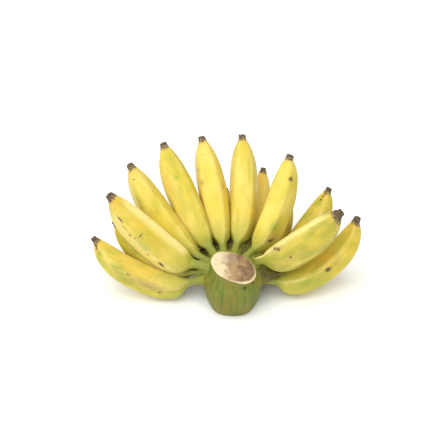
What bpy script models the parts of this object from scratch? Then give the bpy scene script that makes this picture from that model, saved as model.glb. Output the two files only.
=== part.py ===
"""A hand of short, plump bananas, cut off with a stub of its stalk and lying on a table.

The hand grew as one piece, so it is one solid. Two rows of fingers leave a cushion that wraps
round the back of the stalk. Each finger is a tube along a curling spine, with a ridged section.
Metres, +Z up, +X to the right, -Y towards the side that the cut stalk faces.
"""

import math

import bmesh
import bpy
from mathutils import Matrix, Vector

NAME = "banana_hand"

# The stalk stub: a turned block, cut flat below and slanting above
STALK_AT = Vector((0.0088, -0.0596, 0.0))  # puts the middle of the hand's box over the origin
STALK_PROFILE = (  # radius, height
    (0.0244, 0.080),
    (0.0248, 0.055),
    (0.0270, 0.044),
    (0.0315, 0.038),
    (0.0332, 0.032),
    (0.0325, 0.023),
    (0.0306, 0.012),
    (0.0282, 0.004),
    (0.0262, 0.000),
    (0.0235, -0.006),
)
STALK_SIDES = 32
STUB_AT = STALK_AT + Vector((-0.0030, 0.0, 0.0))  # a little left of where the fingers meet
CUT_HEIGHT = 0.0535
CUT_TILT = math.radians(20.0)  # the slanting cut falls towards +X
CUT_RADIUS = 0.0275  # the cut clears what stands above it, as far as this from the axis
CUTTER_HEIGHT = 0.06
CUTTER_SIDES = 48
TABLE_SIZE = 0.6  # the cutter that leaves the flat spots which the hand lies on
SHARP_ANGLE = math.radians(40.0)

# The cushion that the fingers grow from, a flattened ball round the back of the stalk
CUSHION_CENTRE = Vector((0.003, 0.028, 0.035))
CUSHION_RADII = Vector((0.0520, 0.0440, 0.0090))
CUSHION_SEGMENTS = (24, 12)

# One line for each finger, from the left round the back to the right, both rows mixed.
# Place is where the spine starts round the stalk, from straight back (+Y) towards +X, start how
# far from its axis and height how high. Heading is where the pedicel points in plan, and sway how
# far that turns by the tip. The spine leaves at the take-off pitch, turns up by rise at the
# shoulder and by curl on its way to the tip. The section has that many ridges, one of them turned
# by roll from the outer side. Degrees, and metres.
FINGERS = (
    # place, start, height, heading, sway, take-off, rise, curl, length, width, depth, ridges, roll
    (-87, 0.030, 0.0325, -83, 2, -17, 16, 56, 0.149, 0.034, 0.038, 5, 22),
    (-75, 0.024, 0.044, -76, 2, 5, 35, 4, 0.151, 0.040, 0.045, 4, -13),
    (-74, 0.030, 0.0360, -73, 5, -10, 22, 34, 0.130, 0.034, 0.036, 5, 0),
    (-65, 0.024, 0.043, -55, 0, 10, 28, 15, 0.157, 0.037, 0.038, 5, -32),
    (-44, 0.024, 0.043, -32, -9, 13, 32, 7, 0.157, 0.040, 0.039, 4, -15),
    (-31, 0.030, 0.031, -26, 6, -14, 3, 57, 0.120, 0.032, 0.036, 5, 0),
    (-28, 0.024, 0.043, -8, -17, 13, 32, 7, 0.152, 0.036, 0.038, 5, 18),
    (-5, 0.030, 0.031, -5, 2, -14, 2, 58, 0.120, 0.032, 0.036, 5, 0),
    (-8, 0.024, 0.042, 15, -23, 13, 32, 7, 0.152, 0.036, 0.038, 5, 0),
    (14, 0.030, 0.0275, 13, 0, -14, 16, 56, 0.145, 0.031, 0.034, 5, 0),
    (18, 0.020, 0.042, 42, -21, 10, 31, 17, 0.142, 0.035, 0.038, 5, 0),
    (52, 0.026, 0.0285, 47, -1, -14, 18, 56, 0.149, 0.036, 0.037, 5, 0),
    (85, 0.025, 0.0320, 77, -13, -20, 18, 77, 0.153, 0.035, 0.035, 5, 0),
    (35, 0.018, 0.044, 91, -2, 16, 24, 3, 0.132, 0.036, 0.045, 4, -15),
    (38, 0.032, 0.0300, 28, -8, -13, 18, 50, 0.112, 0.036, 0.036, 5, 0),
)

# The form of one finger, in shares of its length from root to tip, and of its width or depth
WIDTH_PROFILE = (
    (0.00, 0.34),
    (0.08, 0.28),
    (0.15, 0.27),
    (0.175, 0.32),
    (0.195, 0.45),
    (0.215, 0.60),
    (0.245, 0.74),
    (0.29, 0.86),
    (0.36, 0.94),
    (0.45, 0.985),
    (0.54, 1.00),
    (0.65, 0.99),
    (0.73, 0.93),
    (0.80, 0.84),
    (0.86, 0.71),
    (0.90, 0.58),
    (0.93, 0.45),
    (0.955, 0.32),
    (0.975, 0.255),
    (1.00, 0.22),
)
DEPTH_PROFILE = (
    (0.00, 0.31),
    (0.08, 0.26),
    (0.15, 0.255),
    (0.175, 0.30),
    (0.192, 0.42),
    (0.21, 0.60),
    (0.232, 0.75),
    (0.265, 0.88),
    (0.34, 0.98),
    (0.47, 1.00),
    (0.62, 0.97),
    (0.73, 0.89),
    (0.80, 0.785),
    (0.86, 0.65),
    (0.90, 0.52),
    (0.93, 0.41),
    (0.955, 0.30),
    (0.975, 0.24),
    (1.00, 0.20),
)
RING_SHARES = (
    0.0, 0.08, 0.155, 0.175, 0.193, 0.21, 0.235, 0.27, 0.32, 0.39, 0.47, 0.56,
    0.64, 0.71, 0.77, 0.825, 0.875, 0.91, 0.94, 0.965, 1.0,
)
NECK_SHARE = (0.14, 0.29)  # where the pedicel turns into the body
BELLY_SHARE = 0.7  # how much of what the body is deeper than its pedicel goes to the outer side
SPINE_STEPS = 200

SIDES_PER_RIDGE = {4: 4, 5: 3}
FLATNESS = 0.12  # how far the middle of a flat lies inside the circle through the ridges

PEEL_YELLOW = (0.83, 0.74, 0.17, 1.0)


def smooth(value):
    """0 to 1 with no corner at either end."""
    value = min(1.0, max(0.0, value))
    return value * value * (3.0 - 2.0 * value)


def along(stations, share):
    """The value at a share, on a smooth curve through the stations."""
    last = len(stations) - 1
    i = next((k for k in range(last) if share <= stations[k + 1][0]), last - 1)

    def slope(k):
        low, high = stations[max(0, k - 1)], stations[min(last, k + 1)]
        return (high[1] - low[1]) / (high[0] - low[0])

    (x0, y0), (x1, y1) = stations[i], stations[i + 1]
    width = x1 - x0
    t = (share - x0) / width
    return (
        y0 * (1 + 2 * t) * (1 - t) ** 2
        + y1 * t * t * (3 - 2 * t)
        + width * slope(i) * t * (1 - t) ** 2
        - width * slope(i + 1) * t * t * (1 - t)
    )


def direction(bearing, pitch):
    """Unit vector of a heading: bearing from +Y towards +X, pitch above the table."""
    b, p = math.radians(bearing), math.radians(pitch)
    return Vector((math.sin(b) * math.cos(p), math.cos(b) * math.cos(p), math.sin(p)))


def finger_rings(
    place, start, height, heading, sway, take_off, rise, curl, length, width, depth,
    shares=RING_SHARES,
):
    """(centre, way across, way to the outer side, half width, half depth) of each ring."""
    around = math.radians(place)
    root = Vector((start * math.sin(around), start * math.cos(around), height))
    spine, headings = [STALK_AT + root], []
    neck_start, neck_end = NECK_SHARE
    for step in range(SPINE_STEPS + 1):
        share = step / SPINE_STEPS
        body = max(0.0, (share - neck_start) / (1.0 - neck_start))
        turned = smooth((share - neck_start) / (neck_end - neck_start))
        headings.append(direction(heading + sway * body, take_off + rise * turned + curl * body))
        spine.append(spine[-1] + headings[-1] * (length / SPINE_STEPS))
    pedicel = depth / 2 * along(DEPTH_PROFILE, neck_start)
    rings = []
    for share in shares:
        at = round(share * SPINE_STEPS)
        across = headings[at].cross(Vector((0.0, 0.0, 1.0))).normalized()
        outward = headings[at].cross(across)
        half_width = width / 2 * along(WIDTH_PROFILE, share)
        half_depth = depth / 2 * along(DEPTH_PROFILE, share)
        belly = BELLY_SHARE * max(0.0, half_depth - pedicel)
        rings.append((spine[at] + outward * belly, across, outward, half_width, half_depth))
    return rings


def collection(name):
    made = bpy.data.collections.new(name)
    bpy.context.scene.collection.children.link(made)
    return made


def ridged(angle, ridges):
    """Distance of the section's outline from its middle: 1 at a ridge, less between two."""
    half_flat = math.pi / ridges
    flat = math.cos(half_flat) / math.cos(angle % (2 * half_flat) - half_flat)
    return 1.0 - FLATNESS * (1.0 - flat) / (1.0 - math.cos(half_flat))


def finger(number, form, target):
    """One finger, lofted through its rings and closed at both ends."""
    *shape, ridges, roll = form
    solid = bmesh.new()
    sides = ridges * SIDES_PER_RIDGE[ridges]
    loops = []
    for centre, across, outward, half_width, half_depth in finger_rings(*shape):
        loop = []
        for i in range(sides):
            ridge_angle = 2 * math.pi * i / sides
            reach = ridged(ridge_angle, ridges)
            angle = ridge_angle + math.radians(roll)
            side = across * math.sin(angle) * half_width * reach
            out = outward * math.cos(angle) * half_depth * reach
            loop.append(solid.verts.new(centre + side + out))
        loops.append(loop)
    for lower, upper in zip(loops, loops[1:]):
        for i in range(sides):
            j = (i + 1) % sides
            solid.faces.new((lower[i], lower[j], upper[j], upper[i]))
    solid.faces.new(loops[0])
    solid.faces.new(loops[-1])
    bmesh.ops.recalc_face_normals(solid, faces=solid.faces)
    mesh = bpy.data.meshes.new(f"finger_{number:02d}")
    solid.to_mesh(mesh)
    solid.free()
    made = bpy.data.objects.new(mesh.name, mesh)
    target.objects.link(made)
    return made


def stalk(target):
    """The stub of the stalk, a turned profile closed at both ends."""
    mesh = bpy.data.meshes.new("stalk")
    outline = [(0.0, 0.0, STALK_PROFILE[0][1])]
    outline += [(radius, 0.0, height) for radius, height in STALK_PROFILE]
    outline.append((0.0, 0.0, STALK_PROFILE[-1][1]))
    mesh.from_pydata(outline, [(i, i + 1) for i in range(len(outline) - 1)], [])
    made = bpy.data.objects.new("stalk", mesh)
    target.objects.link(made)
    screw = made.modifiers.new("Turn", "SCREW")
    screw.steps = screw.render_steps = STALK_SIDES
    screw.use_merge_vertices = True
    screw.merge_threshold = 0.0001
    apply_modifiers(made)
    made.data.transform(Matrix.Translation(STUB_AT))
    return made


def slanting_cut(target):
    """Cutter for the top of the stalk: a drum standing on the slanting plane."""
    mesh = bpy.data.meshes.new("slanting_cut")
    solid = bmesh.new()
    bmesh.ops.create_cone(
        solid, cap_ends=True, segments=CUTTER_SIDES, radius1=CUT_RADIUS, radius2=CUT_RADIUS,
        depth=CUTTER_HEIGHT,
    )
    plane = CUT_HEIGHT + CUTTER_HEIGHT / 2
    for vert in solid.verts:
        vert.co.z += plane
        if vert.co.z < plane:
            vert.co.z -= vert.co.x * math.tan(CUT_TILT)
    bmesh.ops.translate(solid, vec=STUB_AT, verts=solid.verts)
    solid.to_mesh(mesh)
    solid.free()
    made = bpy.data.objects.new("slanting_cut", mesh)
    made.hide_render = True
    made.display_type = "WIRE"
    target.objects.link(made)
    return made


def table(target):
    """Cutter for the flat spots that the hand lies on."""
    mesh = bpy.data.meshes.new("table")
    solid = bmesh.new()
    bmesh.ops.create_cube(solid, size=TABLE_SIZE)
    bmesh.ops.translate(solid, vec=(0.0, 0.0, -TABLE_SIZE / 2), verts=solid.verts)
    solid.to_mesh(mesh)
    solid.free()
    made = bpy.data.objects.new("table", mesh)
    made.hide_render = True
    made.display_type = "WIRE"
    target.objects.link(made)
    return made


def cushion(target):
    mesh = bpy.data.meshes.new("cushion")
    solid = bmesh.new()
    round_it, up_it = CUSHION_SEGMENTS
    bmesh.ops.create_uvsphere(solid, u_segments=round_it, v_segments=up_it, radius=1.0)
    bmesh.ops.scale(solid, vec=CUSHION_RADII, verts=solid.verts)
    solid.to_mesh(mesh)
    solid.free()
    made = bpy.data.objects.new("cushion", mesh)
    made.location = STALK_AT + CUSHION_CENTRE
    target.objects.link(made)
    return made


def boolean(target, operation, operand):
    """Adds a Boolean modifier with an object or a collection, and applies it."""
    modifier = target.modifiers.new(operation.title(), "BOOLEAN")
    modifier.operation = operation
    modifier.solver = "EXACT"
    if isinstance(operand, bpy.types.Collection):
        modifier.operand_type = "COLLECTION"
        modifier.collection = operand
    else:
        modifier.object = operand
    apply_modifiers(target)


def apply_modifiers(target):
    """Replaces an object's mesh by what its modifiers make of it."""
    bpy.context.view_layer.update()
    graph = bpy.context.evaluated_depsgraph_get()
    mesh = bpy.data.meshes.new_from_object(target.evaluated_get(graph))
    target.modifiers.clear()
    target.data = mesh


def peel():
    material = bpy.data.materials.new("banana_peel")
    material.use_nodes = True
    shader = material.node_tree.nodes["Principled BSDF"]
    shader.inputs["Base Color"].default_value = PEEL_YELLOW
    shader.inputs["Roughness"].default_value = 0.45
    shader.inputs["Metallic"].default_value = 0.0
    return material


def main():
    for old in list(bpy.data.objects):
        bpy.data.objects.remove(old)
    parts = collection(NAME + "_parts")
    growth = collection("growth")
    cutters = collection("cutters")

    hand = stalk(parts)
    hand.name = NAME
    cushion(growth)
    for number, form in enumerate(FINGERS, 1):
        finger(number, form, growth)
    boolean(hand, "UNION", growth)
    for grown in list(growth.objects):
        bpy.data.objects.remove(grown)

    boolean(hand, "DIFFERENCE", slanting_cut(cutters))
    boolean(hand, "DIFFERENCE", table(cutters))
    hand.data.materials.clear()
    hand.data.materials.append(peel())
    hand.data.shade_smooth()
    hand.data.set_sharp_from_angle(angle=SHARP_ANGLE)


if __name__ == "__main__":
    main()
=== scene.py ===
# %% [markdown]
# A hand of short bananas, dressed for its picture
#
# The measured frame holds the hand as one plain solid: a cut stub of stalk, a cushion round its
# back, and two rows of fingers. This lesson builds the same hand again with the surface that the
# real fruit shows: four or five soft ridges on every finger, a dry dark tip, necks that flow
# into the green stalk, and a cut face that has begun to brown. Everything is in metres, +Z up.

import math

import bpy
import numpy as np
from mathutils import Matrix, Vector
from mathutils.bvhtree import BVHTree


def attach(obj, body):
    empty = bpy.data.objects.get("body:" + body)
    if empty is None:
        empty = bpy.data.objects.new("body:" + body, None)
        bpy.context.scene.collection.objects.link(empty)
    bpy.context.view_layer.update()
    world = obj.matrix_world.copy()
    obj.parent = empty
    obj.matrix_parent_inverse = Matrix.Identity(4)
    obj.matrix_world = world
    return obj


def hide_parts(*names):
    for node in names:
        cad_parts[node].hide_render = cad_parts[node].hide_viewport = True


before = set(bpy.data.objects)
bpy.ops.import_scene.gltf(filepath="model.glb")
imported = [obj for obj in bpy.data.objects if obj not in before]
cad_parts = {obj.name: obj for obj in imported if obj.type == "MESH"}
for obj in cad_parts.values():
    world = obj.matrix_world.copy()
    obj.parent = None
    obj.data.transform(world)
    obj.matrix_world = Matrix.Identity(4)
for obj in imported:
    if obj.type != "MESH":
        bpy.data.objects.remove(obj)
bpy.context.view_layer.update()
scene = bpy.context.scene

# %% [markdown]
# Small helpers
#
# Modelling by operators means: select, then act. An operator acts on all that is selected, so
# each step first clears the selection. Points are picked in code by their place, which stands
# in for the clicks of a hand on the mouse.


# %% Selecting and reading points
def clear_selection():
    if bpy.context.object and bpy.context.object.mode != "OBJECT":
        bpy.ops.object.mode_set(mode="OBJECT")
    bpy.ops.object.select_all(action="DESELECT")


def make_active(piece):
    clear_selection()
    piece.select_set(True)
    bpy.context.view_layer.objects.active = piece


def coordinates(piece):
    """The places of a mesh's points, one row each."""
    places = np.empty(len(piece.data.vertices) * 3)
    piece.data.vertices.foreach_get("co", places)
    return places.reshape(-1, 3)


def pick_points(piece, chosen):
    """Selects the points whose entry in chosen is true, and leaves the piece in edit mode."""
    bpy.ops.object.mode_set(mode="EDIT")
    bpy.ops.mesh.select_mode(type="VERT")
    bpy.ops.mesh.select_all(action="DESELECT")
    bpy.ops.object.mode_set(mode="OBJECT")
    piece.data.vertices.foreach_set("select", np.asarray(chosen, dtype=bool))
    bpy.ops.object.mode_set(mode="EDIT")


# %% Changing a whole piece
def modify(piece, kind, **settings):
    """Adds a modifier with its settings and applies it."""
    make_active(piece)
    modifier = piece.modifiers.new(kind.title(), kind)
    for name, value in settings.items():
        setattr(modifier, name, value)
    bpy.ops.object.modifier_apply(modifier=modifier.name)


def cut_away(piece, chosen):
    """Deletes the chosen points of the active piece and closes the hole."""
    pick_points(piece, chosen)
    bpy.ops.mesh.delete(type="VERT")
    bpy.ops.mesh.select_all(action="SELECT")
    bpy.ops.mesh.fill_holes(sides=0)
    bpy.ops.mesh.select_all(action="SELECT")
    bpy.ops.mesh.normals_make_consistent(inside=False)
    bpy.ops.object.mode_set(mode="OBJECT")


def press_on_table(piece):
    """Flattens what would sink below the table, and shades the active piece smoothly."""
    sunk = coordinates(piece)[:, 2] < 0.0
    if sunk.any():
        pick_points(piece, sunk)
        bpy.ops.transform.resize(value=(1.0, 1.0, 0.0), center_override=(0.0, 0.0, 0.0))
        bpy.ops.object.mode_set(mode="OBJECT")
    bpy.ops.object.shade_smooth()


VALUE_OF = {"FLOAT": "value", "FLOAT_VECTOR": "vector", "FLOAT_COLOR": "color"}


def store(piece, name, kind, values):
    """Keeps one number, vector or colour for each point, where a finish can read it."""
    layer = piece.data.attributes.new(name, kind, "POINT")
    layer.data.foreach_set(VALUE_OF[kind], values.ravel().astype(np.float32))


# %% Colours and soft steps
def linear(hex_colour):
    """An sRGB hex colour as the linear RGBA that shader sockets hold."""
    parts = [int(hex_colour[i : i + 2], 16) / 255 for i in (1, 3, 5)]
    light = [p / 12.92 if p <= 0.04045 else ((p + 0.055) / 1.055) ** 2.4 for p in parts]
    return (*light, 1.0)


def smooth(value):
    """0 to 1 with no corner at either end, for a number or an array."""
    value = np.clip(value, 0.0, 1.0)
    return value * value * (3.0 - 2.0 * value)


# %% [markdown]
# Camera
#
# The picture looks down on the hand at 40 degrees from the side of the cut stalk. A wide lens
# close by would swell the near stub, so this one is fairly long and stands further off, which
# keeps the fruit's proportions. The camera comes before any modelling, so that every draft can
# be laid beside the picture.

# %% Camera
CAMERA_ELEVATION = math.radians(40.0)
CAMERA_TARGET = Vector((-0.0044, -0.0023, 0.0683))
CAMERA_DISTANCE = 1.142
CAMERA_LENS = 80.0

camera_data = bpy.data.cameras.new("camera")
camera_data.lens = CAMERA_LENS
camera = bpy.data.objects.new("camera", camera_data)
scene.collection.objects.link(camera)
back = Vector((0.0, -math.cos(CAMERA_ELEVATION), math.sin(CAMERA_ELEVATION)))
camera.location = CAMERA_TARGET + CAMERA_DISTANCE * back
camera.rotation_euler = (math.radians(90.0) - CAMERA_ELEVATION, 0.0, 0.0)
scene.camera = camera
print("camera stands at", [round(c, 3) for c in camera.location])

# %% [markdown]
# Studio
#
# Fruit like this is photographed on white, in light so soft that shadows nearly vanish. One small
# lamp would throw a hard dark shadow. A wide lamp above and a pale surround give the soft light:
# what faces up is bright, and flanks fall off a little.

# %% Floor, lamps and surround
FLOOR_WHITE, SURROUND_WHITE = "#FBFBFA", "#FFFFFF"
FLOOR_SIZE = 8.0
SURROUND_STRENGTH = 0.72

clear_selection()
bpy.ops.mesh.primitive_plane_add(size=FLOOR_SIZE)
floor = bpy.context.object
floor.name = "studio_floor"
floor_finish = bpy.data.materials.new("matt white paper")
floor_finish.use_nodes = True
floor_shader = floor_finish.node_tree.nodes["Principled BSDF"]
floor_shader.inputs["Base Color"].default_value = linear(FLOOR_WHITE)
floor_shader.inputs["Roughness"].default_value = 0.9
floor_shader.inputs["Specular IOR Level"].default_value = 0.1
floor.data.materials.append(floor_finish)

LAMPS = (  # name, place, size, watts
    ("top_softbox", (-0.25, -0.35, 1.5), 1.5, 17.0),
    ("front_softbox", (-0.9, -1.5, 0.9), 1.2, 7.0),
)
for lamp_name, place, size, watts in LAMPS:
    lamp_data = bpy.data.lights.new(lamp_name, "AREA")
    lamp_data.size = size
    lamp_data.energy = watts
    lamp = bpy.data.objects.new(lamp_name, lamp_data)
    lamp.location = place
    lamp.rotation_euler = (CAMERA_TARGET - lamp.location).to_track_quat("-Z", "Y").to_euler()
    scene.collection.objects.link(lamp)

world = bpy.data.worlds.new("pale surround")
world.use_nodes = True
background = world.node_tree.nodes["Background"]
background.inputs["Color"].default_value = linear(SURROUND_WHITE)
background.inputs["Strength"].default_value = SURROUND_STRENGTH
scene.world = world
scene.view_settings.view_transform = "Standard"
print("studio:", floor.name, "and", len(LAMPS), "lamps")

# %% [markdown]
# Where the fingers grow
#
# Each finger leaves the stalk on its own neck, turns up at the shoulder and curls on to its tip,
# as it grew towards the light. Its spine could be drawn by hand as a curve, but a table of angles
# keeps all the fingers alike and easy to compare. The table repeats the frame's own, so every
# finger lies exactly where the frame's does.

# %% The fingers' table and their spines
STALK_AT = Vector((0.0088, -0.0596, 0.0))
FINGERS = (
    # place, start, height, heading, sway, take-off, rise, curl, length, width, depth, ridges, roll
    (-87, 0.030, 0.0325, -83, 2, -17, 16, 56, 0.149, 0.034, 0.038, 5, 22),
    (-75, 0.024, 0.044, -76, 2, 5, 35, 4, 0.151, 0.040, 0.045, 4, -13),
    (-74, 0.030, 0.0360, -73, 5, -10, 22, 34, 0.130, 0.034, 0.036, 5, 0),
    (-65, 0.024, 0.043, -55, 0, 10, 28, 15, 0.157, 0.037, 0.038, 5, -32),
    (-44, 0.024, 0.043, -32, -9, 13, 32, 7, 0.157, 0.040, 0.039, 4, -15),
    (-31, 0.030, 0.031, -26, 6, -14, 3, 57, 0.120, 0.032, 0.036, 5, 0),
    (-28, 0.024, 0.043, -8, -17, 13, 32, 7, 0.152, 0.036, 0.038, 5, 18),
    (-5, 0.030, 0.031, -5, 2, -14, 2, 58, 0.120, 0.032, 0.036, 5, 0),
    (-8, 0.024, 0.042, 15, -23, 13, 32, 7, 0.152, 0.036, 0.038, 5, 0),
    (14, 0.030, 0.0275, 13, 0, -14, 16, 56, 0.145, 0.031, 0.034, 5, 0),
    (18, 0.020, 0.042, 42, -21, 10, 31, 17, 0.142, 0.035, 0.038, 5, 0),
    (52, 0.026, 0.0285, 47, -1, -14, 18, 56, 0.149, 0.036, 0.037, 5, 0),
    (85, 0.025, 0.0320, 77, -13, -20, 18, 77, 0.153, 0.035, 0.035, 5, 0),
    (35, 0.018, 0.044, 91, -2, 16, 24, 3, 0.132, 0.036, 0.045, 4, -15),
    (38, 0.032, 0.0300, 28, -8, -13, 18, 50, 0.112, 0.036, 0.036, 5, 0),
)
NECK_SHARE = (0.14, 0.29)  # where the turn from neck to body starts and ends
SPINE_STEPS = 200
print("fingers in the table:", len(FINGERS))


def direction(bearing, pitch):
    """Unit vector of a heading: bearing from +Y towards +X, pitch above the table."""
    b, p = math.radians(bearing), math.radians(pitch)
    return Vector((math.sin(b) * math.cos(p), math.cos(b) * math.cos(p), math.sin(p)))


def spine_points(place, start, height, heading, sway, take_off, rise, curl, length):
    around = math.radians(place)
    points = [STALK_AT + Vector((start * math.sin(around), start * math.cos(around), height))]
    neck_start, neck_end = NECK_SHARE
    for step in range(SPINE_STEPS):
        share = step / SPINE_STEPS
        body = max(0.0, (share - neck_start) / (1.0 - neck_start))
        turned = float(smooth((share - neck_start) / (neck_end - neck_start)))
        way = direction(heading + sway * body, take_off + rise * turned + curl * body)
        points.append(points[-1] + way * (length / SPINE_STEPS))
    return points


# %% [markdown]
# One straight finger
#
# A banana could be sculpted with its bend at once, but it is easiest to shape and to mark while
# it is straight. A circle of 40 points gets its four or five ridges by pulling in the points
# between them. Then it is extruded ring by ring, each ring resized to the fruit's width and depth
# at that share of its length: a thin neck, a shoulder, a full middle and a taper to a small nub.
# The belly hangs to the outer side, which is down here.

# %% Profiles of a finger, in shares of its length, width and depth
WIDTH_PROFILE = (
    (0.00, 0.34), (0.08, 0.28), (0.15, 0.27), (0.175, 0.32), (0.195, 0.45), (0.215, 0.60),
    (0.245, 0.74), (0.29, 0.86), (0.36, 0.94), (0.45, 0.985), (0.54, 1.00), (0.65, 0.99),
    (0.73, 0.93), (0.80, 0.84), (0.86, 0.71), (0.90, 0.58), (0.93, 0.45), (0.955, 0.32),
    (0.975, 0.255), (1.00, 0.22),
)
DEPTH_PROFILE = (
    (0.00, 0.31), (0.08, 0.26), (0.15, 0.255), (0.175, 0.30), (0.192, 0.42), (0.21, 0.60),
    (0.232, 0.75), (0.265, 0.88), (0.34, 0.98), (0.47, 1.00), (0.62, 0.97), (0.73, 0.89),
    (0.80, 0.785), (0.86, 0.65), (0.90, 0.52), (0.93, 0.41), (0.955, 0.30), (0.975, 0.24),
    (1.00, 0.20),
)
BELLY_SHARE = 0.7  # how much of the thickening hangs below the spine
FLATNESS = 0.12  # how far the middle of a flat lies inside the circle through the ridges
SECTION_POINTS = 40
RINGS = 52
TIP_END = ((0.003, 0.85), (-0.006, 0.80), (-0.004, 0.6), (0.012, 0.5))  # push, shrink: a hollow rim
RING_CROWDING = 0.45  # how much closer the rings stand at both ends


def along(stations, share):
    """The value at a share, on a smooth curve through the stations."""
    last = len(stations) - 1
    i = next((k for k in range(last) if share <= stations[k + 1][0]), last - 1)

    def slope(k):
        low, high = stations[max(0, k - 1)], stations[min(last, k + 1)]
        return (high[1] - low[1]) / (high[0] - low[0])

    (x0, y0), (x1, y1) = stations[i], stations[i + 1]
    width = x1 - x0
    t = (share - x0) / width
    return (
        y0 * (1 + 2 * t) * (1 - t) ** 2
        + y1 * t * t * (3 - 2 * t)
        + width * slope(i) * t * (1 - t) ** 2
        - width * slope(i + 1) * t * t * (1 - t)
    )


def belly(share):
    """How far the section's middle hangs below the spine, as a share of the finger's depth."""
    pedicel = along(DEPTH_PROFILE, NECK_SHARE[0]) / 2
    return BELLY_SHARE * max(0.0, along(DEPTH_PROFILE, share) / 2 - pedicel)


def ridge_distance(angle, ridges, roll):
    """Degrees from an angle round the section to the nearest ridge."""
    past = (angle - roll) % (360.0 / ridges)
    return np.minimum(past, 360.0 / ridges - past)


# %% Shape the straight finger by extruding rings
def straight_finger(ridges, roll):
    """A finger 1 long, 1 wide and 1 deep along +X, its ridges turned by roll degrees."""
    clear_selection()
    bpy.ops.mesh.primitive_circle_add(
        vertices=SECTION_POINTS, radius=1.0, fill_type="NGON", rotation=(0.0, math.pi / 2, 0.0)
    )
    finger = bpy.context.object
    bpy.ops.object.transform_apply(location=False, rotation=True, scale=False)
    finger.rotation_euler.x = math.radians(-roll)
    bpy.ops.object.transform_apply(location=False, rotation=True, scale=False)

    ring = coordinates(finger)
    from_ridge = ridge_distance(np.degrees(np.arctan2(-ring[:, 1], -ring[:, 2])), ridges, roll)
    half_flat = math.radians(180.0 / ridges)
    for offset in sorted(set(from_ridge.round(1)) - {0.0}):
        flat = math.cos(half_flat) / math.cos(half_flat - math.radians(offset))
        reach = 1.0 - FLATNESS * (1.0 - flat) / (1.0 - math.cos(half_flat))
        pick_points(finger, np.abs(from_ridge - offset) < 0.1)
        bpy.ops.transform.resize(value=(1.0, reach, reach), center_override=(0.0, 0.0, 0.0))

    bpy.ops.mesh.select_all(action="SELECT")
    wide, deep, hang = along(WIDTH_PROFILE, 0.0) / 2, along(DEPTH_PROFILE, 0.0) / 2, belly(0.0)
    bpy.ops.transform.resize(value=(1.0, wide, deep), center_override=(0.0, 0.0, 0.0))
    last_share = 0.0
    for ring_number in range(1, RINGS + 1):
        turn = 2 * math.pi * ring_number / RINGS
        share = ring_number / RINGS - RING_CROWDING * math.sin(turn) / (2 * math.pi)
        new_wide, new_deep = along(WIDTH_PROFILE, share) / 2, along(DEPTH_PROFILE, share) / 2
        new_hang = belly(share)
        bpy.ops.mesh.extrude_region_move(
            TRANSFORM_OT_translate={"value": (share - last_share, 0.0, hang - new_hang)}
        )
        bpy.ops.transform.resize(
            value=(1.0, new_wide / wide, new_deep / deep), center_override=(share, 0.0, -new_hang)
        )
        wide, deep, hang, last_share = new_wide, new_deep, new_hang, share
    for push, shrink in TIP_END:
        bpy.ops.mesh.extrude_region_move(TRANSFORM_OT_translate={"value": (push, 0.0, 0.0)})
        bpy.ops.transform.resize(
            value=(1.0, shrink, shrink), center_override=(last_share + push, 0.0, -hang)
        )
    bpy.ops.mesh.select_all(action="SELECT")
    bpy.ops.mesh.normals_make_consistent(inside=False)
    bpy.ops.object.mode_set(mode="OBJECT")
    return finger


sections = sorted({form[-2:] for form in FINGERS})
masters = {section: straight_finger(*section) for section in sections}
print("straight fingers modelled:", len(masters))

# %% [markdown]
# Marks on the peel
#
# Ripening fruit is bruised, scratched and green in patches. A brush could paint such marks on a
# texture, but a table is easier to correct: it gives each mark's finger, its place along and
# around it, and its size. The marks are stored in an attribute while the finger is straight, and
# the peel's shader later gives them ragged edges.

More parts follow.
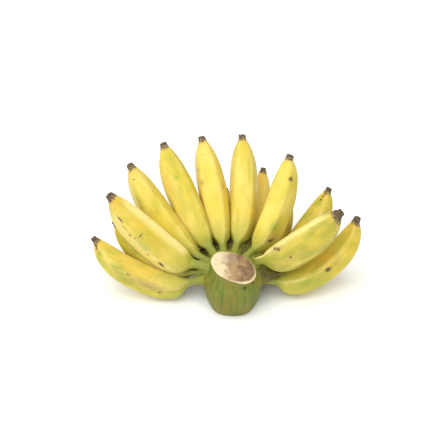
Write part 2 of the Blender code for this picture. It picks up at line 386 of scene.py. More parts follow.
# %% The tone of each finger, and its marks
# The duller tone is partly a fruit's own ripeness and partly painted shade on the outer and lower
# fingers that face away from the lamps.
TONES = (  # green, warm, dull for each finger
    (0.35, 0.00, 0.30), (0.18, 0.15, 0.40), (0.50, 0.00, 0.70), (0.25, 0.00, 0.10),
    (0.30, 0.00, 0.20), (0.40, 0.10, 0.50), (0.10, 0.05, 0.00), (0.40, 0.10, 0.50),
    (0.20, 0.00, 0.10), (0.05, 0.30, 0.00), (0.20, 0.00, 0.00), (0.40, 0.10, 0.45),
    (0.40, 0.15, 0.30), (0.45, 0.00, 0.80), (0.35, 0.05, 0.40),
)
TIP_REACH = {2: 0.006, 13: 0.008, 14: 0.035}  # how much longer some fingers' dry tips are
DARK, GREEN, TAN, WARM = 0, 1, 2, 3
MARKS = (  # finger, kind, share, angle, length and width in mm, slant, strength
    (1, TAN, 0.485, -114, 50, 11, 0, 0.75), (1, GREEN, 0.72, -118, 16, 9, 0, 1.0),
    (1, DARK, 0.63, -125, 5, 3, 0, 0.8), (1, GREEN, 0.895, -107, 9, 6, 0, 0.9),
    (1, DARK, 0.36, -97, 6, 4, 20, 0.8), (1, DARK, 0.955, -95, 16, 4, 0, 0.8),
    (1, GREEN, 0.60, -85, 80, 16, 0, 0.5), (1, WARM, 0.60, -155, 70, 16, 0, 0.35),
    (2, DARK, 0.825, -112, 11, 2.4, 8, 0.9), (2, DARK, 0.692, -103, 5, 2.5, 0, 0.9),
    (2, DARK, 0.64, -121, 14, 2.0, 76, 0.8), (2, GREEN, 0.56, -102, 17, 9, 0, 1.0),
    (2, DARK, 0.49, -93, 4, 3, 0, 0.85), (2, DARK, 0.365, -92, 10, 5, -10, 1.0),
    (2, WARM, 0.505, -142, 24, 10, 0, 0.5), (2, WARM, 0.93, -145, 16, 14, 0, 0.9),
    (2, DARK, 0.755, -106, 14, 1.8, 5, 0.7), (2, WARM, 0.72, -150, 30, 8, 0, 0.4),
    (4, DARK, 0.895, -131, 3.5, 2, 60, 0.8), (4, TAN, 0.62, -124, 12, 4, 0, 0.3),
    (4, GREEN, 0.74, -118, 34, 5, 0, 0.5), (5, WARM, 0.72, -127, 26, 10, 0, 0.6),
    (5, GREEN, 0.735, -163, 6, 6, 0, 0.9), (5, TAN, 0.57, -116, 13, 3, 0, 0.8),
    (7, TAN, 0.757, -124, 6, 3.5, 0, 0.9), (7, TAN, 0.655, -136, 6, 5, 0, 0.8),
    (7, TAN, 0.59, 144, 6, 5, 0, 0.7), (9, GREEN, 0.74, 160, 46, 4, 0, 0.5),
    (11, DARK, 0.815, 143, 7, 7, 0, 0.75), (11, GREEN, 0.415, 143, 14, 10, 0, 1.0),
    (11, DARK, 0.30, 127, 4, 9, 35, 1.0), (11, TAN, 0.31, 130, 13, 16, 0, 0.7),
    (12, DARK, 0.952, 173, 4, 4, 0, 0.9), (12, DARK, 0.925, -179, 3, 3, 0, 0.9),
    (12, DARK, 0.895, -179, 4, 3, 0, 0.9), (12, GREEN, 0.86, 180, 8, 8, 0, 0.9),
    (14, DARK, 0.350, 165, 4, 4, 0, 0.9),
    (14, DARK, 0.375, 157, 4, 5, 30, 1.0), (14, TAN, 0.36, 160, 13, 12, 0, 0.5),
    (14, DARK, 0.43, 116, 4, 4, 0, 0.8), (14, WARM, 0.85, 111, 32, 18, 0, 0.6),
    (14, TAN, 0.40, 105, 60, 10, 0, 0.25), (13, WARM, 0.60, 170, 40, 20, 0, 0.8),
    (13, DARK, 0.555, 128, 9, 6, 0, 1.0), (13, TAN, 0.64, 127, 9, 5, 0, 0.3),
    (13, DARK, 0.38, 110, 3, 2, 0, 0.7), (13, DARK, 0.45, 116, 3, 2, 0, 0.7),
    (13, DARK, 0.52, 112, 4, 2, 0, 0.7), (13, DARK, 0.975, 114, 10, 4, 0, 0.8),
    (13, GREEN, 0.40, 120, 40, 20, 0, 0.7), (13, WARM, 0.85, 150, 30, 14, 0, 0.4),
)

# Each paler side is painted light: a facet turned towards the lamps, made paler in its colour.
LIT_SIDES_HIGHLIGHT = (  # finger, share where it starts, first and last angle of a paler side, strength
    (2, 0.20, -102, -30, 0.50), (2, 0.24, 130, 206, 0.80), (4, 0.24, -104, -40, 0.60),
    (7, 0.24, -114, -70, 0.45), (14, 0.08, 163, 226, 0.95),
)
print("marks:", len(MARKS), "and paler sides:", len(LIT_SIDES_HIGHLIGHT))

# %% Store what the peel needs to know
RIDGE_WIDTH = 16.0  # degrees from a ridge to where it no longer shows
SHARP_EDGE, SOFT_EDGE = 4.0, 24.0  # degrees over which a paler side begins and ends
PALE_END = 0.93
PALE_RISE, PALE_FALL = 0.08, 0.12  # shares of the length over which it does the same
PATTERN_SHIFT = np.array((0.31, 0.17, 0.07))  # so that no two fingers show the same pattern


def paint(finger, number, form):
    """Stores on a straight finger what its shader needs to know after it is bent."""
    *_, length, width, depth, ridges, roll = form
    places = coordinates(finger)
    share = places[:, 0] / length
    hang = np.array([belly(s) for s in share.clip(0, 1)]) * depth
    wide = np.array([along(WIDTH_PROFILE, s) for s in share.clip(0, 1)]) * width / 2
    deep = np.array([along(DEPTH_PROFILE, s) for s in share.clip(0, 1)]) * depth / 2
    angle = np.degrees(np.arctan2(-places[:, 1] / wide, -(places[:, 2] + hang) / deep))
    from_ridge = ridge_distance(angle, ridges, roll)
    marks = np.zeros((len(share), 4))
    for owner, kind, at, around, long, broad, slant, strength in MARKS:
        if owner != number:
            continue
        x = (share - at) * length * 1000
        y = ((angle - around + 180.0) % 360.0 - 180.0) / 180.0 * math.pi * (wide + deep) / 2 * 1000
        turn = math.radians(slant)
        u = (x * math.cos(turn) + y * math.sin(turn)) / (long / 2)
        v = (y * math.cos(turn) - x * math.sin(turn)) / (broad / 2)
        marks[:, kind] = np.maximum(marks[:, kind], strength * np.exp(-(u * u + v * v)))
    pale = np.zeros(len(share))
    for owner, start, first, last, strength in LIT_SIDES_HIGHLIGHT:
        if owner == number:
            past = (angle - first + 180.0) % 360.0 - 180.0
            side = smooth(past / SHARP_EDGE + 0.5) * smooth((last - first - past) / SOFT_EDGE)
            reach = smooth((share - start) / PALE_RISE) * smooth((PALE_END - share) / PALE_FALL)
            pale = np.maximum(pale, strength * side * reach)
    dry = share + TIP_REACH.get(number, 0.0)
    growth = np.column_stack((share, 1.0 - smooth(from_ridge / RIDGE_WIDTH), dry))
    store(finger, "straight", "FLOAT_VECTOR", places + PATTERN_SHIFT * number)
    store(finger, "growth", "FLOAT_VECTOR", growth)
    store(finger, "tone", "FLOAT_VECTOR", np.tile(TONES[number - 1], (len(share), 1)))
    store(finger, "lit_side_highlight", "FLOAT", pale)
    store(finger, "marks", "FLOAT_COLOR", marks)


# %% [markdown]
# Bending the fingers
#
# Each finger is a copy of its straight master, stretched to its own size, smoothed and painted.
# Bones could bend it, but they would crease it at their joints. A Curve modifier bends it evenly
# along its spine, with its up side kept up, and it then gets its slight lumps. What would sink
# below the table is pressed flat on it, as the weight of the hand does.

# %% Copy, size, paint and bend each finger
LUMP_HEIGHT, LUMP_SIZE = 0.0009, 0.022
CRUMB_HEIGHT, CRUMB_SIZE = 0.0022, 0.004  # the dry tips are rougher
TIP_START = 0.945

lumps = bpy.data.textures.new("lumps", "CLOUDS")
lumps.noise_scale = LUMP_SIZE
lumps.noise_depth = 2
crumbs = bpy.data.textures.new("crumbs", "CLOUDS")
crumbs.noise_scale = CRUMB_SIZE


def grow_finger(number, form):
    *route, length, width, depth, ridges, roll = form
    clear_selection()
    finger = masters[ridges, roll].copy()
    finger.data = finger.data.copy()
    finger.name = finger.data.name = f"banana_finger_{number:02d}"
    scene.collection.objects.link(finger)
    make_active(finger)
    finger.scale = (length, width, depth)
    bpy.ops.object.transform_apply(location=False, rotation=False, scale=True)
    modify(finger, "SUBSURF", levels=1, render_levels=1)
    paint(finger, number, form)
    shares = coordinates(finger)[:, 0] / length

    spine_data = bpy.data.curves.new("spine", "CURVE")
    spine_data.dimensions = "3D"
    spine_data.twist_mode = "Z_UP"
    line = spine_data.splines.new("POLY")
    points = spine_points(*route, length)
    line.points.add(len(points) - 1)
    line.points.foreach_set("co", [c for point in points for c in (*point, 1.0)])
    spine = bpy.data.objects.new("spine", spine_data)
    scene.collection.objects.link(spine)
    modify(finger, "CURVE", object=spine, deform_axis="POS_X")
    bpy.data.objects.remove(spine)
    modify(
        finger, "DISPLACE", texture=lumps, texture_coords="LOCAL", strength=LUMP_HEIGHT,
        mid_level=0.5,
    )

    tip = finger.vertex_groups.new(name="tip")
    tip.add([int(i) for i in np.nonzero(shares > TIP_START)[0]], 1.0, "REPLACE")
    modify(
        finger, "DISPLACE", texture=crumbs, texture_coords="LOCAL", strength=CRUMB_HEIGHT,
        mid_level=0.5, vertex_group="tip",
    )
    press_on_table(finger)
    return finger


fingers = [grow_finger(number, form) for number, form in enumerate(FINGERS, 1)]
print("fingers:", len(fingers), "with", len(fingers[0].data.polygons), "faces each")

# %% [markdown]
# The crown
#
# The stub of stalk, the cushion behind it and the fingers' necks are one skin with soft webs
# between them. Its faces could be laid by hand, but fifteen necks meet there at odd angles. So
# rough pieces are joined and made one by a voxel remesh, which needs no plan of the faces.
# The stub comes first: it swells below, narrows above and has blunt ridges down its sides.

# %% The stub, extruded ring by ring
STALK_PROFILE = (  # radius, height
    (0.0235, -0.006), (0.0262, 0.000), (0.0282, 0.004), (0.0306, 0.012), (0.0325, 0.023),
    (0.0332, 0.032), (0.0315, 0.038), (0.0270, 0.044), (0.0248, 0.055), (0.0244, 0.080),
)
STALK_SIDES = 48
STUB_AT = STALK_AT + Vector((-0.0030, 0.0, 0.0))  # a little left of where the fingers meet
STUB_RIDGES = (-178.0, -130.0, -57.0, -14.0, 32.0, 85.0, 135.0)  # bearings from +X towards +Y
STUB_FLATTENING = 0.375  # 0 for a round stub, 1 for one with flat sides between its ridges


def stub():
    clear_selection()
    radius, height = STALK_PROFILE[0]
    bpy.ops.mesh.primitive_circle_add(
        vertices=STALK_SIDES, radius=radius, fill_type="NGON", location=(0.0, 0.0, height)
    )
    block = bpy.context.object
    bpy.ops.object.transform_apply(location=True, rotation=False, scale=False)
    bpy.ops.object.mode_set(mode="EDIT")
    bpy.ops.mesh.select_all(action="SELECT")
    for new_radius, new_height in STALK_PROFILE[1:]:
        bpy.ops.mesh.extrude_region_move(
            TRANSFORM_OT_translate={"value": (0.0, 0.0, new_height - height)}
        )
        ratio = new_radius / radius
        bpy.ops.transform.resize(value=(ratio, ratio, 1.0), center_override=(0.0, 0.0, new_height))
        radius, height = new_radius, new_height
    bpy.ops.object.mode_set(mode="OBJECT")
    places = coordinates(block)
    bearings = np.degrees(np.arctan2(places[:, 1], places[:, 0]))
    for first, last in zip(STUB_RIDGES, (*STUB_RIDGES[1:], STUB_RIDGES[0] + 360.0)):
        half = (last - first) / 2
        off = (bearings - (first + half) + 180.0) % 360.0 - 180.0
        for step in sorted(set(off[np.abs(off) < half].round(1))):
            flat = math.cos(math.radians(half)) / math.cos(math.radians(step))
            pull = 1.0 - STUB_FLATTENING * (1.0 - flat)
            pick_points(block, np.abs(off - step) < 0.1)
            bpy.ops.transform.resize(value=(pull, pull, 1.0), center_override=(0.0, 0.0, 0.0))
    bpy.ops.object.mode_set(mode="OBJECT")
    block.location = STUB_AT
    bpy.ops.object.transform_apply(location=True, rotation=False, scale=False)
    return block


# %% The cushion and the necks
CUSHION_CENTRE = Vector((0.003, 0.028, 0.035))
CUSHION_RADII = (0.0520, 0.0440, 0.0090)
NECK_END = 0.150  # the share of a finger that the crown flows over
NECK_THIN, NECK_SWELL = -0.0005, 0.0013  # thinner than the finger at its end, thicker at its root


def neck(finger):
    """The first stretch of a finger, swollen a little, for the crown to flow into."""
    clear_selection()
    made = finger.copy()
    made.data = finger.data.copy()
    scene.collection.objects.link(made)
    make_active(made)
    growth = np.empty(len(made.data.vertices) * 3, dtype=np.float32)
    made.data.attributes["growth"].data.foreach_get("vector", growth)
    shares = growth.reshape(-1, 3)[:, 0]
    root = made.vertex_groups.new(name="root")
    for i in np.nonzero(shares < NECK_END)[0]:
        root.add([int(i)], float(1.0 - shares[i] / NECK_END), "REPLACE")
    cut_away(made, shares > NECK_END)
    modify(made, "DISPLACE", strength=NECK_THIN, mid_level=0.0)
    modify(made, "DISPLACE", strength=NECK_SWELL, mid_level=0.0, vertex_group="root")
    return made


crown = stub()
clear_selection()
bpy.ops.mesh.primitive_uv_sphere_add(
    segments=32, ring_count=16, radius=1.0, location=STALK_AT + CUSHION_CENTRE, scale=CUSHION_RADII
)
cushion = bpy.context.object
necks = [neck(finger) for finger in fingers]
clear_selection()
for rough in (crown, cushion, *necks):
    rough.select_set(True)
bpy.context.view_layer.objects.active = crown
bpy.ops.object.join()
crown.name = crown.data.name = "banana_crown"
print("crown, rough:", len(crown.data.vertices), "points")

# %% [markdown]
# One skin, and the cut
#
# Living tissue has no sharp inner corners. Rounding them by hand would mean finding each one.
# Swelling the skin, remeshing it and shrinking it again fills them all at once. The stub was then
# cut through with one slanting stroke, so a drum with a slanting lower end takes its top away.

# %% Make the crown one skin
WEB = 0.0012  # radius of the webs between the necks
WEB_SHRINK = 0.96  # a little less than all of it, so that the skin stays round the fingers' own
VOXEL = 0.0010

modify(crown, "REMESH", mode="VOXEL", voxel_size=VOXEL)
modify(crown, "DISPLACE", strength=WEB, mid_level=0.0)
modify(crown, "REMESH", mode="VOXEL", voxel_size=VOXEL)
modify(crown, "SMOOTH", factor=0.5, iterations=5)
modify(crown, "DISPLACE", strength=-WEB * WEB_SHRINK, mid_level=0.0)
print("crown, webbed:", len(crown.data.vertices), "points")

# %% Cut the stub
CUT_HEIGHT = 0.0535
CUT_TILT = math.radians(20.0)
CUT_RADIUS = 0.0275
DRUM_TALL = 0.06
DRUM_SIDES = 96
FINE_VOXEL = 0.0008  # keeps the rim of the cut crisp

clear_selection()
bpy.ops.mesh.primitive_cylinder_add(vertices=DRUM_SIDES, radius=CUT_RADIUS, depth=DRUM_TALL)
drum = bpy.context.object
bpy.ops.transform.translate(value=(0.0, 0.0, CUT_HEIGHT + DRUM_TALL / 2))
bpy.ops.object.transform_apply(location=True, rotation=False, scale=False)
for point in drum.data.vertices:
    if point.co.z < CUT_HEIGHT + DRUM_TALL / 2:
        point.co.z -= point.co.x * math.tan(CUT_TILT)
drum.location = STUB_AT
bpy.ops.object.transform_apply(location=True, rotation=False, scale=False)
modify(crown, "BOOLEAN", operation="DIFFERENCE", object=drum)
bpy.data.objects.remove(drum)
modify(crown, "REMESH", mode="VOXEL", voxel_size=FINE_VOXEL)
modify(crown, "SMOOTH", factor=0.5, iterations=2)
press_on_table(crown)
print("crown, cut:", len(crown.data.vertices), "points")

# %% [markdown]
# What is where on the crown
#
# The crown is one skin, but it shows four things: the green stub, the pale cut face, the green
# necks and the dark webs between them, which are dry scars with painted shade added in their narrow
# gaps. It could be split into four pieces, but hard borders would show. So every point stores how
# far it belongs to each, and the finish blends them.

# %% Paint the cut face and the nicks below it
CUT_FACE_RADIUS = 0.0268
NICKS = ((0.0228, -0.0150, 0.0440, 1.8), (0.0135, -0.0240, 0.0435, 2.2))  # place, size in mm

surface = coordinates(crown)
places = surface - np.array(STUB_AT)
above_cut = places[:, 2] - (CUT_HEIGHT - places[:, 0] * math.tan(CUT_TILT))
from_axis = np.hypot(places[:, 0], places[:, 1])
inside_face = smooth((CUT_FACE_RADIUS - from_axis) / 0.0010)
on_cut = inside_face * smooth((above_cut + 0.0012) / 0.0008)
nicks = np.zeros(len(surface))
for x, y, z, size in NICKS:
    away = np.linalg.norm(places - (x, y, z), axis=1) * 1000
    nicks = np.maximum(nicks, np.exp(-((away / size) ** 2)))
store(crown, "parts", "FLOAT_VECTOR", np.column_stack((on_cut, from_axis, nicks)))
print("crown points on the cut face:", int((on_cut > 0.5).sum()))

# %% Paint the necks, and the webs between them with painted shade in their gaps
NECK_SAMPLES = 40  # points of each spine that the crown's skin is measured from

beyond = np.ones(len(surface))  # how far outside the nearest pedicel's own round
for *route, length, width, depth, ridges, roll in FINGERS:
    for step, point in enumerate(spine_points(*route, length)[:NECK_SAMPLES]):
        share = step / SPINE_STEPS
        radius = (along(WIDTH_PROFILE, share) * width + along(DEPTH_PROFILE, share) * depth) / 4
        beyond = np.minimum(beyond, np.linalg.norm(surface - np.array(point), axis=1) - radius)
stub_radii, stub_heights = zip(*STALK_PROFILE)
off_stub = from_axis - np.interp(places[:, 2], stub_heights, stub_radii)
green_neck = smooth((0.0022 - beyond) / 0.0012) * smooth((off_stub + 0.0015) / 0.0030)
# The webs are dry dark scars, and the same mask lays painted shade in the narrow gaps between
# necks.
web_scar_and_shade = smooth((beyond - 0.0010) / 0.0015) * smooth((off_stub - 0.0002) / 0.0020)
store(crown, "green_neck", "FLOAT", green_neck)
store(crown, "web_scar_and_shade", "FLOAT", web_scar_and_shade)
print("crown points on webs:", int((web_scar_and_shade > 0.5).sum()))


# %% Trim the fingers where they would stand above the cut
ROOT_MARGIN = 0.0010


def trim_root(finger):
    """Takes away what lies inside the drum's round, deep in the crown, and closes the finger."""
    places = coordinates(finger) - np.array(STUB_AT)
    inside = np.hypot(places[:, 0], places[:, 1]) < CUT_RADIUS + ROOT_MARGIN
    if not inside.any():
        return
    make_active(finger)
    cut_away(finger, inside)


for finger in fingers:
    trim_root(finger)
print("points of the fingers, trimmed:", sum(len(finger.data.vertices) for finger in fingers))

# %% [markdown]
# Where fingers touch
#
# Fingers that press and rub on each other go brown along the line where they meet. That line is
# painted darker than the rub alone, as painted shade in the narrow gap, and painted shade also
# darkens the crowded necks. The shader could look for such places while it renders, which is slow
# and grainy. A distance that is measured once is neither, so every finger stores how near its
# neighbours are.

# %% Store the closeness of each finger's neighbours
TOUCH_REACH = 0.006
TOUCHING = 0.001

trees = []
boxes = []
for finger in fingers:
    corners = coordinates(finger)
    trees.append(BVHTree.FromPolygons(corners, [tuple(f.vertices) for f in finger.data.polygons]))
    boxes.append((corners.min(axis=0) - TOUCH_REACH, corners.max(axis=0) + TOUCH_REACH))
touching = 0
for mine, finger in enumerate(fingers):
    corners = coordinates(finger)
    distance = np.full(len(corners), TOUCH_REACH)
    for other, (box_low, box_high) in enumerate(boxes):
        if other == mine:
            continue
        inside = ((corners > box_low) & (corners < box_high)).all(axis=1)
        for i in np.nonzero(inside)[0]:
            near = trees[other].find_nearest(corners[i], TOUCH_REACH)[3]
            distance[i] = min(distance[i], TOUCH_REACH if near is None else near)
    store(finger, "closeness", "FLOAT", 1.0 - distance / TOUCH_REACH)
    touching += int((distance < TOUCHING).sum())
print("points that touch a neighbour:", touching)

# %% [markdown]
# Finishes
#
# Every finish starts from what the real surface is. The one helper adds a node with its settings
# and links. Patterns are sized by a Mapping node whose scale is one over the real size in
# metres, so a noise of scale 1 has features of that size. A finish is built as layers: each has
# a mask, from 0 to 1, and the colour that it lays over what is below.


# %% The helper that adds a node
def add(tree, kind, inputs=None, out=0, **settings):
    """Adds a node. An input is a value, or an output of another node to link from."""
    made = tree.nodes.new("ShaderNode" + kind)
    for name, value in settings.items():
        setattr(made, name, value)
    for key, value in (inputs or {}).items():
        if isinstance(value, bpy.types.NodeSocket):
            tree.links.new(value, made.inputs[key])
        else:
            made.inputs[key].default_value = value
    return made.outputs[out]


def millimetres(*sizes):
    """The scale that gives a pattern features of these sizes."""
    return tuple(1000.0 / size for size in sizes)


def new_finish(name):
    finish = bpy.data.materials.new(name)
    finish.use_nodes = True
    return finish, finish.node_tree, finish.node_tree.nodes["Principled BSDF"]


# %% [markdown]
# Ripening peel
#
# Peel is a waxy living skin: satin, with long fine fibres that run from neck to tip. It ripens from
# its belly outwards, so the neck stays green, the middle is yellow and the ridges are worn pale or
# brown. The pale of the ridges is partly wear and partly a painted highlight along them; sides that
# face the lamps are painted paler as painted light, and fingers that face away are painted duller,
# partly as painted shade. Small specks and bruises darken it. A picture of peel would stretch where
# the fruit bends. Noise that reads the places stored on the straight finger bends with it.

# %% Peel: colours, and what each point knows
YELLOW, BRIGHT_YELLOW, WARM_YELLOW, PALE_RUB_AND_HIGHLIGHT = "#E2C940", "#EFD568", "#E8B63C", "#EEDD8C"
LEAF_GREEN, PALE_GREEN, OLIVE = "#868B30", "#A0A53A", "#AA9E32"
# Rub brown also darkens the lines where fingers touch, partly as painted shade; the darkest brown
# is painted shade between crowded necks, and is also the colour of the nicks on the stub.
RUB_BROWN, BRUISE_BROWN, CREVICE_SHADE_AND_NICK_DARK = "#A78A55", "#4E3D20", "#2E2212"
TIP_TAN, TIP_BROWN = "#9C8660", "#52422D"

peel, tree, shader = new_finish("waxy ripening banana peel")
straight = add(tree, "Attribute", out=1, attribute_name="straight")
growth = add(tree, "SeparateXYZ", {0: add(tree, "Attribute", out=1, attribute_name="growth")})
share, ridge, dry_share = growth.node.outputs
tone = add(tree, "SeparateXYZ", {0: add(tree, "Attribute", out=1, attribute_name="tone")})
green_tone, warm_tone, dull_and_shade_tone = tone.node.outputs
marks = add(tree, "Attribute", attribute_name="marks")
dark_mark, green_mark, tan_mark = add(tree, "SeparateColor", {0: marks}).node.outputs
warm_mark = marks.node.outputs["Alpha"]
closeness = add(tree, "Attribute", out=2, attribute_name="closeness")
lit_side_highlight = add(tree, "Attribute", out=2, attribute_name="lit_side_highlight")

# %% Peel: patterns
PEEL_PATTERNS = {  # size along, across and up in mm, and detail
    "clouds": (45, 22, 22, 3.0),  # slow changes of ripeness
    "patches": (18, 8, 8, 4.0),  # green and dull patches
    "fibres": (40, 1.1, 1.1, 2.0),
    "rubs": (14, 2, 2, 2.0),
    "grain": (1.8, 1.0, 1.0, 2.0),
}
pattern = {}
for name, (*size, detail) in PEEL_PATTERNS.items():
    place = add(tree, "Mapping", {"Vector": straight, "Scale": millimetres(*size)})
    pattern[name] = add(tree, "TexNoise", {"Vector": place, "Scale": 1.0, "Detail": detail})
print("patterns on the peel:", len(pattern))

# %% Peel: masks of ripeness
ripe = add(tree, "MapRange", {0: pattern["clouds"], 1: 0.38, 2: 0.62})
patch = add(tree, "MapRange", {0: pattern["patches"], 1: 0.40, 2: 0.62})
warm = add(tree, "Math", {0: warm_tone, 1: warm_mark}, operation="ADD", use_clamp=True)
# Duller patches: partly the fruit's own, partly painted shade set by each finger's tone.
some_patch = add(tree, "MapRange", {0: pattern["patches"], 1: 0.30, 2: 0.60, 3: 0.55, 4: 1.0})
dull_and_shade = add(tree, "Math", {0: dull_and_shade_tone, 1: some_patch}, operation="MULTIPLY")
green_spots = add(tree, "Math", {0: green_tone, 1: patch}, operation="MULTIPLY")
green = add(tree, "Math", {0: green_spots, 1: green_mark}, operation="ADD", use_clamp=True)
uneven = add(tree, "Math", {0: pattern["clouds"], 1: 0.10, 2: share}, operation="MULTIPLY_ADD")
near_neck = add(tree, "MapRange", {0: uneven, 1: 0.46, 2: 0.28, 3: 0.0, 4: 0.6})
at_neck = add(tree, "MapRange", {0: uneven, 1: 0.27, 2: 0.19})
near_tip = add(tree, "MapRange", {0: uneven, 1: 0.95, 2: 1.02, 3: 0.0, 4: 0.6})

# %% Peel: masks of fibres, rubbed ridges and specks
fibre = add(tree, "MapRange", {0: pattern["fibres"], 1: 0.40, 2: 0.75, 3: 0.0, 4: 0.22})
# Ridges are made pale partly as worn skin and partly as a painted highlight along them.
rub_and_highlight = add(tree, "MapRange", {0: pattern["rubs"], 1: 0.40, 2: 0.60, 3: 0.0, 4: 0.45})
pale_ridge = add(tree, "Math", {0: rub_and_highlight, 1: ridge}, operation="MULTIPLY")
worn = add(tree, "MapRange", {0: pattern["rubs"], 1: 0.60, 2: 0.70, 3: 0.0, 4: 0.5})
sharp_ridge = add(tree, "Math", {0: ridge, 1: 5.0}, operation="POWER")
brown_ridge = add(tree, "Math", {0: worn, 1: sharp_ridge}, operation="MULTIPLY")
tan = add(tree, "Math", {0: tan_mark, 1: some_patch}, operation="MULTIPLY")
dot_place = add(tree, "Mapping", {"Vector": straight, "Scale": millimetres(6.5, 4.5, 4.5)})
dots = add(tree, "TexVoronoi", {"Vector": dot_place, "Scale": 1.0})
dot = add(tree, "MapRange", {0: dots, 1: 0.17, 2: 0.08, 3: 0.0, 4: 0.6})
dot_here = add(tree, "MapRange", {0: pattern["patches"], 1: 0.54, 2: 0.60})
speck = add(tree, "Math", {0: dot, 1: dot_here}, operation="MULTIPLY")

# %% Peel: masks of bruises, touching sides with painted shade, and dry tips
ragged = add(tree, "MapRange", {0: pattern["grain"], 1: 0.3, 2: 0.7, 3: -0.5, 4: 0.5})
torn = add(tree, "Math", {0: ragged, 1: dark_mark, 2: dark_mark}, operation="MULTIPLY_ADD")
bruise_edge = add(tree, "MapRange", {0: torn, 1: 0.12, 2: 0.45, 3: 0.0, 4: 0.6})
bruise = add(tree, "MapRange", {0: torn, 1: 0.40, 2: 0.62, 3: 0.0, 4: 0.9})
# Near a neighbour the peel turns brown: partly real browning where fingers rub, partly painted
# shade in the narrow gap.
touch = add(tree, "Math", {0: ragged, 1: 0.25, 2: closeness}, operation="MULTIPLY_ADD")
contact_rub_and_shade = add(tree, "MapRange", {0: touch, 1: 0.72, 2: 1.0, 3: 0.0, 4: 0.75})
# Low on the crowded necks, painted shade stands for the little light that reaches between them.
low_down = add(tree, "MapRange", {0: share, 1: 0.26, 2: 0.16})
crowded = add(tree, "MapRange", {0: touch, 1: 0.25, 2: 0.85, 3: 0.0, 4: 0.95})
painted_crevice_shade = add(tree, "Math", {0: low_down, 1: crowded}, operation="MULTIPLY")
dry = add(tree, "Math", {0: ragged, 1: 0.02, 2: dry_share}, operation="MULTIPLY_ADD")
dried = add(tree, "MapRange", {0: dry, 1: 0.950, 2: 0.968})
black_grain = add(tree, "MapRange", {0: pattern["grain"], 1: 0.46, 2: 0.54})
ring = add(tree, "MapRange", {0: dry, 1: 0.972, 2: 0.985})
tip_dark = add(tree, "Math", {0: black_grain, 1: dried}, operation="MULTIPLY")
tip_end = add(tree, "Math", {0: ring, 1: 0.7}, operation="MULTIPLY")

# %% Peel: layers of colour, and the fine relief
colour = add(
    tree, "Mix", {0: ripe, 6: linear(YELLOW), 7: linear(BRIGHT_YELLOW)}, out=2, data_type="RGBA"
)
# Of these layers, pale sides and pale ridges carry painted light, and the duller tone, touching
# lines and crowded necks carry painted shade.
for mask, tint in (
    (warm, WARM_YELLOW), (dull_and_shade, OLIVE), (green, PALE_GREEN), (near_neck, PALE_GREEN),
    (near_tip, WARM_YELLOW), (fibre, OLIVE), (pale_ridge, PALE_RUB_AND_HIGHLIGHT),
    (at_neck, LEAF_GREEN), (lit_side_highlight, PALE_RUB_AND_HIGHLIGHT),
    (brown_ridge, RUB_BROWN), (tan, RUB_BROWN), (speck, BRUISE_BROWN), (bruise_edge, RUB_BROWN),
    (bruise, BRUISE_BROWN), (contact_rub_and_shade, RUB_BROWN), (painted_crevice_shade, CREVICE_SHADE_AND_NICK_DARK), (dried, TIP_TAN),
    (tip_dark, TIP_BROWN), (tip_end, TIP_BROWN),
):
    colour = add(
        tree, "Mix", {0: mask, 6: colour, 7: linear(tint)}, out=2, data_type="RGBA"
    )
tree.links.new(colour, shader.inputs["Base Color"])
waxy = add(tree, "MapRange", {0: pattern["patches"], 1: 0.3, 2: 0.7, 3: 0.42, 4: 0.54})
rough = add(tree, "Math", {0: dried, 1: 0.35, 2: waxy}, operation="MULTIPLY_ADD", use_clamp=True)
tree.links.new(rough, shader.inputs["Roughness"])
shader.inputs["Specular IOR Level"].default_value = 0.4
height = add(
    tree, "Math", {0: pattern["grain"], 1: 0.5, 2: pattern["fibres"]}, operation="MULTIPLY_ADD"
)
bump = add(tree, "Bump", {"Height": height, "Strength": 0.25, "Distance": 0.0006})
tree.links.new(bump, shader.inputs["Normal"])
print("peel nodes:", len(tree.nodes))

# %% [markdown]
# Stalk
#
# The stalk is greener and coarser than the fruit, with fibres that run down it. The webs between
# the necks are dry, dark scars, and painted shade darkens them further in the narrow gaps. Where
# the stalk was cut, the pale pith dries at once: it stays cream on the left and along its rim, and
# browns over the rest. Two materials could share the crown, but a mask lets the skin's edge and the
# pith meet softly, so one finish holds both.

# %% Stalk: colours, and what each point knows
STALK_GREEN, STALK_DARK, STALK_OLIVE = "#727F2C", "#515F1D", "#85792A"
PITH_CREAM, PITH_BROWN, PITH_DARK, PITH_GREY = "#F1DDB4", "#B5946A", "#5F4230", "#978B7D"
SCAR_AND_SHADE_BROWN = "#4A3A20"

stalk_finish, tree, shader = new_finish("fibrous green stalk and cut pith")
here = add(tree, "TexCoord", out=3)
parts = add(tree, "SeparateXYZ", {0: add(tree, "Attribute", out=1, attribute_name="parts")})
cut_mask, axis_distance, nick = parts.node.outputs
green_neck = add(tree, "Attribute", out=2, attribute_name="green_neck")
web_scar_and_shade = add(tree, "Attribute", out=2, attribute_name="web_scar_and_shade")
from_cut = add(tree, "Mapping", {"Vector": here, "Location": tuple(-STUB_AT)})
cut_x, cut_y, _ = add(tree, "SeparateXYZ", {0: from_cut}).node.outputs

# %% Stalk: patterns
STALK_PATTERNS = {  # size along X, Y and Z in mm, and detail
    "streaks": (4, 4, 50, 3.0),
    "blots": (8, 8, 60, 4.0),
    "fine": (1.1, 1.1, 3.0, 3.0),
    "pores": (1.6, 1.6, 1.6, 2.0),
    "stains": (7, 9, 9, 5.0),
}
pattern = {}
for name, (*size, detail) in STALK_PATTERNS.items():
    place = add(tree, "Mapping", {"Vector": here, "Scale": millimetres(*size)})
    pattern[name] = add(tree, "TexNoise", {"Vector": place, "Scale": 1.0, "Detail": detail})
print("patterns on the stalk:", len(pattern))

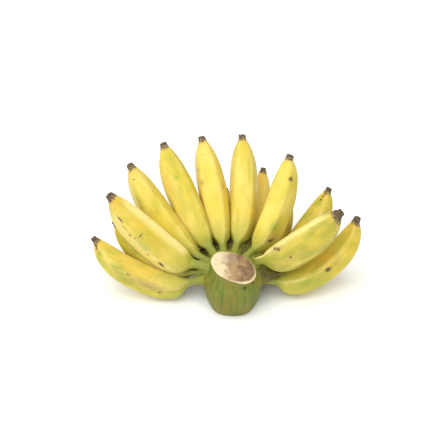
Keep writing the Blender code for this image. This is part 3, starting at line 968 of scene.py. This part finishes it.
# %% Stalk: masks of its skin
streak = add(tree, "MapRange", {0: pattern["streaks"], 1: 0.28, 2: 0.62})
olive = add(tree, "MapRange", {0: pattern["blots"], 1: 0.38, 2: 0.68})
# The webs between necks are dry scars, darkened further as painted shade in their gaps.
uneven_web = add(tree, "MapRange", {0: pattern["blots"], 1: 0.35, 2: 0.65, 3: 1.0, 4: 0.45})
scar_and_shade = add(tree, "Math", {0: web_scar_and_shade, 1: uneven_web}, operation="MULTIPLY")
scuff = add(tree, "MapRange", {0: pattern["fine"], 1: 0.62, 2: 0.78, 3: 0.0, 4: 0.35})

# %% Stalk: masks of the browning pith
stain = add(tree, "MapRange", {0: pattern["stains"], 1: 0.3, 2: 0.7, 3: -0.004, 4: 0.004})
browned_x = add(tree, "Math", {0: cut_x, 1: stain}, operation="ADD")
browned = add(tree, "MapRange", {0: browned_x, 1: -0.0110, 2: -0.0030})
rim_y = add(tree, "Math", {0: cut_y, 1: -0.08, 2: axis_distance}, operation="MULTIPLY_ADD")
rim_edge = add(tree, "Math", {0: stain, 1: 0.20, 2: rim_y}, operation="MULTIPLY_ADD")
inside_rim = add(tree, "MapRange", {0: rim_edge, 1: 0.0262, 2: 0.0235})
brown_pith = add(tree, "Math", {0: browned, 1: inside_rim}, operation="MULTIPLY")
dark_side = add(tree, "MapRange", {0: cut_x, 1: 0.000, 2: 0.015, 3: -0.08, 4: 0.24})
dark_place = add(tree, "Math", {0: pattern["stains"], 1: dark_side}, operation="ADD")
dark_stain = add(tree, "MapRange", {0: dark_place, 1: 0.46, 2: 0.72, 3: 0.0, 4: 0.75})
dark_pith = add(tree, "Math", {0: dark_stain, 1: brown_pith}, operation="MULTIPLY")
grey_x = add(tree, "Math", {0: cut_x, 1: 0.003}, operation="ADD")
grey_y = add(tree, "Math", {0: cut_y, 1: -0.013}, operation="ADD")
grey_place = add(tree, "CombineXYZ", {0: grey_x, 1: grey_y})
grey_away = add(tree, "VectorMath", {0: grey_place}, out=1, operation="LENGTH")
grey_pith = add(tree, "MapRange", {0: grey_away, 1: 0.012, 2: 0.004, 3: 0.0, 4: 0.5})
pore = add(tree, "MapRange", {0: pattern["pores"], 1: 0.48, 2: 0.66, 3: 0.0, 4: 0.5})

# %% Stalk: layers of colour, and the relief
skin = add(
    tree, "Mix", {0: streak, 6: linear(STALK_DARK), 7: linear(STALK_GREEN)}, out=2,
    data_type="RGBA",
)
for mask, tint in (
    (olive, STALK_OLIVE), (green_neck, LEAF_GREEN), (scuff, PITH_DARK), (scar_and_shade, SCAR_AND_SHADE_BROWN),
    (nick, CREVICE_SHADE_AND_NICK_DARK),
):
    skin = add(tree, "Mix", {0: mask, 6: skin, 7: linear(tint)}, out=2, data_type="RGBA")
pith = linear(PITH_CREAM)
for mask, tint in (
    (brown_pith, PITH_BROWN), (dark_pith, PITH_DARK), (grey_pith, PITH_GREY), (pore, PITH_BROWN),
):
    pith = add(tree, "Mix", {0: mask, 6: pith, 7: linear(tint)}, out=2, data_type="RGBA")
colour = add(tree, "Mix", {0: cut_mask, 6: skin, 7: pith}, out=2, data_type="RGBA")
tree.links.new(colour, shader.inputs["Base Color"])
shader.inputs["Roughness"].default_value = 0.6
shader.inputs["Specular IOR Level"].default_value = 0.35
height = add(
    tree, "Math", {0: pattern["fine"], 1: 0.4, 2: pattern["streaks"]}, operation="MULTIPLY_ADD"
)
bump = add(tree, "Bump", {"Height": height, "Strength": 0.35, "Distance": 0.0010})
tree.links.new(bump, shader.inputs["Normal"])
print("stalk nodes:", len(tree.nodes))

# %% [markdown]
# Handing the pieces over
#
# The fingers and the crown are one grown thing, so all of them ride on the frame's one body. They
# stand in for its one solid, which is hidden.

# %% Finish
for master in masters.values():
    bpy.data.objects.remove(master)
for piece in (*fingers, crown):
    piece.data.materials.clear()
    piece.data.materials.append(stalk_finish if piece == crown else peel)
    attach(piece, "root")
    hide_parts("banana_hand")
